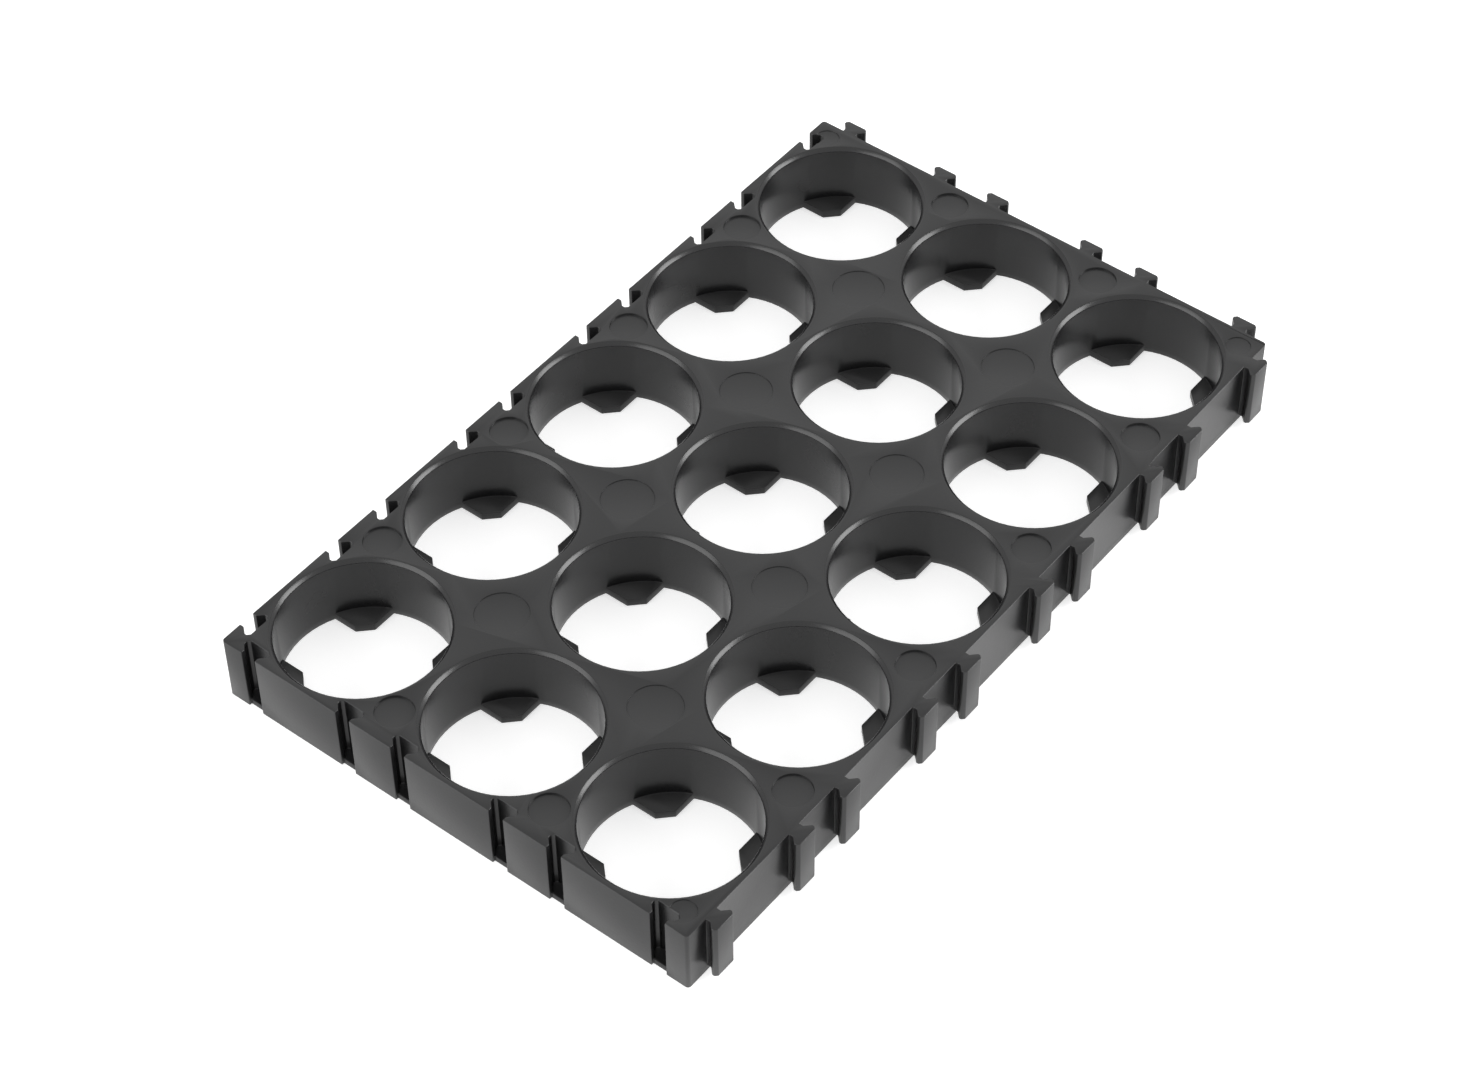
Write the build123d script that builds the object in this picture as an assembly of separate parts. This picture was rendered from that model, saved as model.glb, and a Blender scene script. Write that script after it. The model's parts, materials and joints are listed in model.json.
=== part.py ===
# Cell holder plate: a grid of round bores for upright cylindrical cells, with
# dovetail ribs on two edges and matching slots on the other two, so plates join
# side by side at an unbroken pitch. Millimetres, +Z up, resting on its underside.
from build123d import *
from math import radians, tan
import os

# ---- cells and grid ----
cells_x = 3                 # cells along X
cells_y = 5                 # cells along Y
cell_radius = 9.0           # radius of the cell a bore is made for
cell_clearance = 0.2        # gap all round the cell
web = 1.85                  # thinnest wall between two neighbouring bores
thickness = 8.3             # height of the plate
lead_in = 0.4               # chamfer round the top of each bore
corner_radius = 0.4         # upright corners of the plate

bore_radius = cell_radius + cell_clearance
pitch = 2 * bore_radius + web
size_x = cells_x * pitch
size_y = cells_y * pitch

# ---- retaining tabs: four under each cell, on the diagonals ----
tab_thickness = 1.0         # flush with the underside
tab_gap = 8.0               # clear width between two neighbouring tabs
tab_overlap = 2.5           # how far the tab's inner flat stands in from the bore wall
window_draft = 5.0          # degrees that the bore opens out below the tops of the tabs

tab_reach = bore_radius - tab_overlap   # bore axis to the inner flat

# ---- dovetails: two to a cell on every edge, stopped above the underside ----
dovetail_place = 0.318      # either side of the cell's axis, as a share of the pitch
rib_neck = 1.65             # width where the rib leaves the edge
rib_head = 2.92             # width of the rib's head
rib_length = 1.7            # how far the rib stands out
rib_straight = 0.5          # straight length of the neck before the 45 degree flare
rib_bevel = 0.3             # bevel on the head's corners
rib_lift = 0.85             # the ribs stop this far above the underside
joint_gap = 0.1             # clearance of the rib in the slot, all round
stop_set_back = 0.3         # the stop closing a slot's foot stands this far in from the edge

slot_stop = rib_lift - joint_gap        # height of the stop that a rib comes down on

# ---- ejector pin marks: shallow discs sunk in the top face ----
mark_depth = 0.15           # marks among the cells
mark_radius = 2.9
edge_mark_depth = 0.35      # marks between the cells and an edge
edge_mark_radius = 2.1
edge_mark_inset = 2.95      # rib edges: mark's centre to the edge
corner_mark_radius = 1.4
corner_mark_inset = 2.25    # corner marks: centre to both edges

edge_mark_inset_slots = edge_mark_inset + joint_gap + 0.75   # further in, behind the slots

# Where the cells stand, about the middle of the grid
cells = GridLocations(pitch, pitch, cells_x, cells_y).locations
crossings = GridLocations(pitch, pitch, cells_x - 1, cells_y - 1).locations


def dovetail(neck, head, length, straight):
    """Dovetail outline standing out along +Y from an edge on the X axis."""
    flare = (head - neck) / 2
    root = 0.5 * straight   # runs back over the edge, so that the two overlap
    right = [
        (neck / 2, -root),
        (neck / 2, straight),
        (head / 2, straight + flare),
        (head / 2, length),
    ]
    left = [(-x, y) for x, y in reversed(right)]
    outline = make_face(Polyline(*right, *left, close=True))
    ends = outline.vertices().sort_by(Axis.Y)[-2:]
    return chamfer(ends, rib_bevel)


def along_edge(count):
    """Distances of the dovetails from the middle of an edge of count cells."""
    middles = [(i - (count - 1) / 2) * pitch for i in range(count)]
    return [m + side * dovetail_place * pitch for m in middles for side in (-1, 1)]


rib = dovetail(rib_neck, rib_head, rib_length, rib_straight)
slot = dovetail(
    rib_neck + 2 * joint_gap,
    rib_head + 2 * joint_gap,
    rib_length + joint_gap,
    rib_straight,
)

# ---- plate, with ribs on +X and +Y and slots in -X and -Y, open at the top ----
rib = Pos(0, 0, rib_lift) * extrude(rib, thickness - rib_lift)
slot = Pos(0, 0, slot_stop) * extrude(slot, thickness)
slot += Box(
    rib_neck + 2 * joint_gap,
    stop_set_back,
    thickness,
    align=(Align.CENTER, Align.MIN, Align.MIN),
)
plus_x = [Pos(size_x / 2, y) * Rot(0, 0, -90) for y in along_edge(cells_y)]
plus_y = [Pos(x, size_y / 2) for x in along_edge(cells_x)]
minus_x = [Pos(-size_x, 0) * place for place in plus_x]
minus_y = [Pos(0, -size_y) * place for place in plus_y]

plate = extrude(RectangleRounded(size_x, size_y, corner_radius), thickness)
plate += [place * rib for place in plus_x + plus_y]
plate -= [place * slot for place in minus_x + minus_y]

# ---- one cell: the contact window between its tabs, and the bore above them ----
on_floor = (Align.CENTER, Align.CENTER, Align.MIN)
window_radius = bore_radius + tab_thickness * tan(radians(window_draft))
between_tabs = (
    Rectangle(2 * window_radius, tab_gap)
    + Rectangle(tab_gap, 2 * window_radius)
    + Rectangle(2 * tab_reach, 2 * tab_reach, rotation=45)
)
window = extrude(between_tabs, tab_thickness) & Cone(
    window_radius, bore_radius, tab_thickness, align=on_floor
)
bore = Pos(0, 0, tab_thickness) * Cylinder(
    bore_radius, thickness - tab_thickness, align=on_floor
)
mouth = Pos(0, 0, thickness - lead_in) * Cone(
    bore_radius, bore_radius + lead_in, lead_in, align=on_floor
)
cell = window + bore + mouth

holder = plate - [place * cell for place in cells]

# ---- ejector pin marks ----


def mark(x, y, radius, depth):
    """Disc sunk into the top face."""
    return Pos(x, y, thickness) * Cylinder(radius, 2 * depth)


marks = [mark(p.position.X, p.position.Y, mark_radius, mark_depth) for p in crossings]
for x in sorted({p.position.X for p in crossings}):
    marks.append(mark(x, size_y / 2 - edge_mark_inset, edge_mark_radius, edge_mark_depth))
    marks.append(mark(x, edge_mark_inset_slots - size_y / 2, edge_mark_radius, edge_mark_depth))
for y in sorted({p.position.Y for p in crossings}):
    marks.append(mark(size_x / 2 - edge_mark_inset, y, edge_mark_radius, edge_mark_depth))
    marks.append(mark(edge_mark_inset_slots - size_x / 2, y, edge_mark_radius, edge_mark_depth))
for side_x, side_y in ((1, 1), (-1, 1), (1, -1)):
    marks.append(
        mark(
            side_x * (size_x / 2 - corner_mark_inset),
            side_y * (size_y / 2 - corner_mark_inset),
            corner_mark_radius,
            mark_depth,
        )
    )
holder -= marks

# The ribs stand out on two edges: the origin sits under the middle of the whole
holder = Pos(-rib_length / 2, -rib_length / 2, 0) * holder

os.makedirs("parts", exist_ok=True)
export_step(holder, "parts/cell_holder.step")
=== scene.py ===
"""Cell holder plate: finish, light and camera for the one moulded piece.

Run as a script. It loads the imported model, gives the plate eased edges and its
moulded finish, and sets the stage round it.
"""

import json
import math

import bpy
from bpy.props import FloatProperty, FloatVectorProperty, IntProperty, PointerProperty
from mathutils import Euler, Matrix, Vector


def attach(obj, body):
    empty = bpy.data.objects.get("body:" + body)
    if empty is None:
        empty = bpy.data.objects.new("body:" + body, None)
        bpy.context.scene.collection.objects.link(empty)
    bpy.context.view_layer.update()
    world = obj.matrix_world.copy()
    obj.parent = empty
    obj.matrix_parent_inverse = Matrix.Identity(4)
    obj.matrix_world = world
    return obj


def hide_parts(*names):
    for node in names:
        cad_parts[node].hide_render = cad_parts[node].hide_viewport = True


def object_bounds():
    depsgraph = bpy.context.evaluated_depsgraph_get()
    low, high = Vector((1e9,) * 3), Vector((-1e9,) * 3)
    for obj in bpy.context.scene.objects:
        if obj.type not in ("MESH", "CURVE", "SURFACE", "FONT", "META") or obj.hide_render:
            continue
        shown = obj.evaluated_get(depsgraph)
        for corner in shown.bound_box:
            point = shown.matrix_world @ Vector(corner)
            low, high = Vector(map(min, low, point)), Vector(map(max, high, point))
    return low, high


bl_info = {
    "name": "Cell holder plate",
    "version": (1, 0, 0),
    "blender": (4, 5, 0),
    "location": "View3D > Sidebar > Cell holder",
    "description": "Finishes a moulded plate that holds cylindrical cells and stages it",
    "category": "Object",
}

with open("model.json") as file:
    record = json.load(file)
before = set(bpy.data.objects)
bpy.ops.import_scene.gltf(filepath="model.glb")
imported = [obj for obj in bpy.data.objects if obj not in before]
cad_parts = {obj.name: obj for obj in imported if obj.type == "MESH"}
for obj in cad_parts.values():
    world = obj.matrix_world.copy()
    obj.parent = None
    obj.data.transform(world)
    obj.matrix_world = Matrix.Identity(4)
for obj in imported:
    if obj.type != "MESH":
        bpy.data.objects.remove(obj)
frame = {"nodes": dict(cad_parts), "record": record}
cad_low, cad_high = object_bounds()

PLATE = "cell_holder"
BORES = [m for m in frame["record"]["mounts"] if m["kind"] == "bore"]

WELD_DISTANCE = 1e-6  # metres: corners this close are one
FLAT_ANGLE = math.radians(0.5)  # faces within this angle are one flat face
EDGE_ANGLE = math.radians(32)  # a sharper turn than this is an edge
UPWARD = 0.9  # a face whose normal rises more than this is a top or an underside


# where each lamp stands and the side of its square, in metres
LAMPS = {
    "key": ((0.66, 0.48, 0.38), 0.5),
    "front": ((-0.3, -0.7, 0.3), 0.8),
    "back": ((-0.4, 0.5, 0.68), 0.7),
}


# ---- sizes and colours a user would change ----


class PlateSettings(bpy.types.PropertyGroup):
    """Shape of the moulded edges and look of the plastic"""

    edge_rounding: FloatProperty(
        name="Edge rounding",
        description="Radius that the mould leaves on every outer edge",
        default=0.00009,
        unit="LENGTH",
    )
    rounding_steps: IntProperty(
        name="Rounding steps", description="Facets across a rounded edge", default=2
    )
    lead_in: FloatProperty(
        name="Lead-in",
        description="Chamfer round the top of each bore, which is finished as the bore is",
        default=0.0004,
        unit="LENGTH",
    )
    plastic_colour: FloatVectorProperty(
        name="Plastic colour",
        description="Colour of the black plastic",
        subtype="COLOR",
        default=(0.0115, 0.0115, 0.0119),
    )
    face_roughness: FloatProperty(
        name="Face roughness",
        description="Roughness of the finely textured faces",
        default=0.3,
        subtype="FACTOR",
    )
    bore_roughness: FloatProperty(
        name="Bore roughness",
        description="Roughness of the bores, which polished pins leave smoother",
        default=0.26,
        subtype="FACTOR",
    )
    grain_size: FloatProperty(
        name="Grain size",
        description="Width of one grain of the mould's texture",
        default=0.00035,
        unit="LENGTH",
    )
    grain_depth: FloatProperty(
        name="Grain depth",
        description="Height of the mould's texture on the faces",
        default=0.000008,
        unit="LENGTH",
    )
    bore_grain: FloatProperty(
        name="Bore grain",
        description="Share of that height which the polished pins leave in the bores",
        default=1 / 3,
        subtype="FACTOR",
    )
    cloud_scale: FloatProperty(
        name="Cloud scale",
        description="How many broad patches of uneven finish there are to a metre",
        default=90.0,
    )
    colour_drift: FloatVectorProperty(
        name="Colour drift",
        description="Lowest and highest share of the colour across the patches",
        size=2,
        default=(0.9, 1.12),
    )
    gloss_drift: FloatProperty(
        name="Gloss drift",
        description="How far the roughness strays either way across the patches",
        default=0.05,
    )


class StageSettings(bpy.types.PropertyGroup):
    """Floor, light and camera"""

    floor_size: FloatProperty(
        name="Floor size", description="Side of the square floor", default=4.0, unit="LENGTH"
    )
    floor_colour: FloatVectorProperty(
        name="Floor colour",
        description="Colour of the pale floor",
        subtype="COLOR",
        default=(0.8, 0.8, 0.8),
    )
    floor_glow: FloatProperty(
        name="Floor glow",
        description="How far the floor is lifted towards white where it is seen directly",
        default=0.55,
    )
    floor_mirrored: FloatProperty(
        name="Floor mirrored",
        description="How far the floor is lifted towards white where it is seen in a gloss",
        default=0.33,
    )
    world_light: FloatProperty(
        name="Room light", description="Strength of the even light all round", default=0.85
    )
    key_power: FloatProperty(
        name="Key power",
        description="Power of the lamp behind on the right",
        default=6.0,
        unit="POWER",
    )
    front_power: FloatProperty(
        name="Front power",
        description="Power of the low lamp before the short edge",
        default=5.0,
        unit="POWER",
    )
    back_power: FloatProperty(
        name="Back power",
        description="Power of the broad lamp behind on the left",
        default=0.4,
        unit="POWER",
    )
    camera_place: FloatVectorProperty(
        name="Camera place",
        description="Where the camera stands",
        subtype="TRANSLATION",
        unit="LENGTH",
        default=(0.159245, -0.204935, 0.283391),
    )
    camera_turn: FloatVectorProperty(
        name="Camera turn",
        description="How the camera is turned",
        subtype="EULER",
        unit="ROTATION",
        default=(math.radians(42.516), math.radians(0.9065), math.radians(38.5394)),
    )
    camera_lens: FloatProperty(
        name="Lens", description="Focal length in millimetres", default=88.233
    )
    camera_shift: FloatVectorProperty(
        name="Lens shift",
        description="Sideways and upward shift of the lens",
        size=2,
        default=(0.01922, -0.00066),
    )


# ---- finishes ----


def make_moulded_texture(settings):
    """Node group: the fine grain and slight unevenness that a mould leaves on plastic."""
    group = bpy.data.node_groups.new("moulded_texture", "ShaderNodeTree")
    for name, kind, default in (
        ("Colour", "NodeSocketColor", (0.03, 0.03, 0.03, 1.0)),
        ("Roughness", "NodeSocketFloat", 0.5),
        ("Grain per metre", "NodeSocketFloat", 3000.0),
        ("Grain depth", "NodeSocketFloat", 0.00001),
    ):
        socket = group.interface.new_socket(name, in_out="INPUT", socket_type=kind)
        socket.default_value = default
    for name, kind in (
        ("Colour", "NodeSocketColor"),
        ("Roughness", "NodeSocketFloat"),
        ("Height", "NodeSocketFloat"),
    ):
        group.interface.new_socket(name, in_out="OUTPUT", socket_type=kind)

    nodes, link = group.nodes, group.links.new
    inputs = nodes.new("NodeGroupInput")
    outputs = nodes.new("NodeGroupOutput")
    place = nodes.new("ShaderNodeTexCoord")

    grain = nodes.new("ShaderNodeTexNoise")
    grain.inputs["Detail"].default_value = 3.0
    grain.inputs["Roughness"].default_value = 0.6
    link(place.outputs["Object"], grain.inputs["Vector"])
    link(inputs.outputs["Grain per metre"], grain.inputs["Scale"])

    clouds = nodes.new("ShaderNodeTexNoise")
    clouds.inputs["Scale"].default_value = settings.cloud_scale
    clouds.inputs["Detail"].default_value = 4.0
    link(place.outputs["Object"], clouds.inputs["Vector"])

    # grain height
    height = nodes.new("ShaderNodeMath")
    height.operation = "MULTIPLY"
    link(grain.outputs["Fac"], height.inputs[0])
    link(inputs.outputs["Grain depth"], height.inputs[1])
    link(height.outputs[0], outputs.inputs["Height"])

    # colour drifts a little from place to place
    drift = nodes.new("ShaderNodeMapRange")
    drift.inputs["To Min"].default_value, drift.inputs["To Max"].default_value = (
        settings.colour_drift
    )
    link(clouds.outputs["Fac"], drift.inputs["Value"])
    tint = nodes.new("ShaderNodeVectorMath")
    tint.operation = "SCALE"
    link(inputs.outputs["Colour"], tint.inputs[0])
    link(drift.outputs["Result"], tint.inputs["Scale"])
    link(tint.outputs["Vector"], outputs.inputs["Colour"])

    # and so does the gloss
    sheen = nodes.new("ShaderNodeMapRange")
    sheen.inputs["To Min"].default_value = -settings.gloss_drift
    sheen.inputs["To Max"].default_value = settings.gloss_drift
    link(clouds.outputs["Fac"], sheen.inputs["Value"])
    gloss = nodes.new("ShaderNodeMath")
    gloss.operation = "ADD"
    link(inputs.outputs["Roughness"], gloss.inputs[0])
    link(sheen.outputs["Result"], gloss.inputs[1])
    link(gloss.outputs[0], outputs.inputs["Roughness"])
    return group


def make_plastic(name, texture, settings, roughness, depth):
    """Black moulded plastic with its own roughness and depth of grain."""
    material = bpy.data.materials.new(name)
    material.use_nodes = True
    nodes, link = material.node_tree.nodes, material.node_tree.links.new
    shader = nodes["Principled BSDF"]
    shader.inputs["IOR"].default_value = 1.5
    grain = nodes.new("ShaderNodeGroup")
    grain.node_tree = texture
    grain.inputs["Colour"].default_value = (*settings.plastic_colour, 1.0)
    grain.inputs["Roughness"].default_value = roughness
    grain.inputs["Grain per metre"].default_value = 1.0 / settings.grain_size
    grain.inputs["Grain depth"].default_value = depth
    bump = nodes.new("ShaderNodeBump")
    bump.inputs["Distance"].default_value = 1.0
    link(grain.outputs["Colour"], shader.inputs["Base Color"])
    link(grain.outputs["Roughness"], shader.inputs["Roughness"])
    link(grain.outputs["Height"], bump.inputs["Height"])
    link(bump.outputs["Normal"], shader.inputs["Normal"])
    return material


def in_a_bore(polygon, lead_in):
    """Whether a face is the wall or the lead-in of one of the bores."""
    if abs(polygon.normal.z) > UPWARD:
        return False
    for bore in BORES:
        x, y, _ = bore["pos_m"]
        reach = math.hypot(polygon.center.x - x, polygon.center.y - y)
        if reach < bore["dims"]["r_mm"] / 1000 + lead_in:
            return True
    return False


# ---- operators ----


class CELLHOLDER_OT_plate(bpy.types.Operator):
    """Finish the plate: eased edges, textured faces and smoother bores"""

    bl_idname = "cellholder.plate"
    bl_label = "Finish the plate"

    def execute(self, context):
        settings = context.scene.cellholder_plate
        solid = frame["nodes"][PLATE]

        bpy.ops.object.select_all(action="DESELECT")
        solid.select_set(True)
        context.view_layer.objects.active = solid
        bpy.ops.object.duplicate()
        plate = context.view_layer.objects.active
        plate.name = "holder_plate"
        for key in list(plate.keys()):
            del plate[key]

        # one skin, with flat faces free of stray lines
        bpy.ops.object.mode_set(mode="EDIT")
        bpy.ops.mesh.select_all(action="SELECT")
        bpy.ops.mesh.remove_doubles(threshold=WELD_DISTANCE)
        bpy.ops.mesh.dissolve_limited(angle_limit=FLAT_ANGLE)
        bpy.ops.mesh.normals_make_consistent(inside=False)
        bpy.ops.object.mode_set(mode="OBJECT")

        rounding = plate.modifiers.new("Rounded edges", "BEVEL")
        rounding.width = settings.edge_rounding
        rounding.segments = settings.rounding_steps
        rounding.limit_method = "ANGLE"
        rounding.angle_limit = EDGE_ANGLE
        rounding.use_clamp_overlap = True
        bpy.ops.object.modifier_apply(modifier=rounding.name)
        bpy.ops.object.shade_smooth_by_angle(angle=EDGE_ANGLE)

        texture = make_moulded_texture(settings)
        bore_depth = settings.grain_depth * settings.bore_grain
        plate.data.materials.clear()
        for name, roughness, depth in (
            ("textured_face", settings.face_roughness, settings.grain_depth),
            ("smooth_bore", settings.bore_roughness, bore_depth),
        ):
            plate.data.materials.append(make_plastic(name, texture, settings, roughness, depth))
        for polygon in plate.data.polygons:
            polygon.material_index = int(in_a_bore(polygon, settings.lead_in))

        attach(plate, "root")
        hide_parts(PLATE)
        return {"FINISHED"}


def add_lamp(name, place, size, power):
    """Square soft lamp that faces the plate."""
    bpy.ops.object.light_add(type="AREA", location=place)
    lamp = bpy.context.object
    lamp.name = name
    lamp.rotation_euler = (-Vector(place)).to_track_quat("-Z", "Y").to_euler()
    lamp.data.size = size
    lamp.data.energy = power


def make_floor_paint(settings):
    """Pale floor that keeps its shadows and shows white to the camera."""
    material = bpy.data.materials.new("pale_floor")
    material.use_nodes = True
    nodes, link = material.node_tree.nodes, material.node_tree.links.new
    nodes.clear()
    paint = nodes.new("ShaderNodeBsdfDiffuse")
    paint.inputs["Color"].default_value = (*settings.floor_colour, 1.0)
    path = nodes.new("ShaderNodeLightPath")
    glow = nodes.new("ShaderNodeEmission")
    lift = None
    for ray, strength in (
        ("Is Camera Ray", settings.floor_glow),
        ("Is Transmission Ray", settings.floor_glow),
        ("Is Glossy Ray", settings.floor_mirrored),
    ):
        share = nodes.new("ShaderNodeMath")
        share.operation = "MULTIPLY_ADD"
        share.inputs[1].default_value = strength
        share.inputs[2].default_value = 0.0
        link(path.outputs[ray], share.inputs[0])
        if lift is not None:
            link(lift.outputs[0], share.inputs[2])
        lift = share
    link(lift.outputs[0], glow.inputs["Strength"])
    both = nodes.new("ShaderNodeAddShader")
    link(paint.outputs[0], both.inputs[0])
    link(glow.outputs[0], both.inputs[1])
    output = nodes.new("ShaderNodeOutputMaterial")
    link(both.outputs[0], output.inputs["Surface"])
    return material


class CELLHOLDER_OT_stage(bpy.types.Operator):
    """Set the floor, the light and the camera"""

    bl_idname = "cellholder.stage"
    bl_label = "Set the stage"

    def execute(self, context):
        settings = context.scene.cellholder_stage
        scene = context.scene
        scene.view_settings.view_transform = "Standard"

        bpy.ops.object.select_all(action="DESELECT")
        bpy.ops.mesh.primitive_plane_add(size=settings.floor_size, location=(0, 0, cad_low.z))
        floor = context.object
        floor.name = "floor"
        floor.data.materials.append(make_floor_paint(settings))

        world = bpy.data.worlds.new("room")
        scene.world = world
        world.use_nodes = True
        nodes, link = world.node_tree.nodes, world.node_tree.links.new
        room = nodes["Background"]
        room.inputs["Color"].default_value = (1.0, 1.0, 1.0, 1.0)
        path = nodes.new("ShaderNodeLightPath")
        shown = nodes.new("ShaderNodeMapRange")
        shown.inputs["To Min"].default_value = settings.world_light
        shown.inputs["To Max"].default_value = 1.0
        link(path.outputs["Is Camera Ray"], shown.inputs["Value"])
        link(shown.outputs["Result"], room.inputs["Strength"])

        for name, (place, size) in LAMPS.items():
            add_lamp(name, place, size, getattr(settings, name + "_power"))

        bpy.ops.object.camera_add(
            location=settings.camera_place, rotation=Euler(settings.camera_turn)
        )
        camera = context.object
        camera.data.lens = settings.camera_lens
        camera.data.shift_x, camera.data.shift_y = settings.camera_shift
        camera.data.clip_start = 0.01
        scene.camera = camera
        return {"FINISHED"}


class CELLHOLDER_PT_panel(bpy.types.Panel):
    """Lists what the plate and its stage are made from"""

    bl_idname = "CELLHOLDER_PT_panel"
    bl_label = "Cell holder"
    bl_space_type = "VIEW_3D"
    bl_region_type = "UI"
    bl_category = "Cell holder"

    def draw(self, context):
        for settings, operator in (
            (context.scene.cellholder_plate, CELLHOLDER_OT_plate),
            (context.scene.cellholder_stage, CELLHOLDER_OT_stage),
        ):
            box = self.layout.box()
            for name in settings.__annotations__:
                box.prop(settings, name)
            box.operator(operator.bl_idname)


CLASSES = (
    PlateSettings,
    StageSettings,
    CELLHOLDER_OT_plate,
    CELLHOLDER_OT_stage,
    CELLHOLDER_PT_panel,
)


def register():
    for cls in CLASSES:
        bpy.utils.register_class(cls)
    bpy.types.Scene.cellholder_plate = PointerProperty(type=PlateSettings)
    bpy.types.Scene.cellholder_stage = PointerProperty(type=StageSettings)


def unregister():
    del bpy.types.Scene.cellholder_stage
    del bpy.types.Scene.cellholder_plate
    for cls in reversed(CLASSES):
        bpy.utils.unregister_class(cls)


def main():
    register()
    bpy.ops.cellholder.plate()
    bpy.ops.cellholder.stage()


if __name__ == "__main__":
    main()
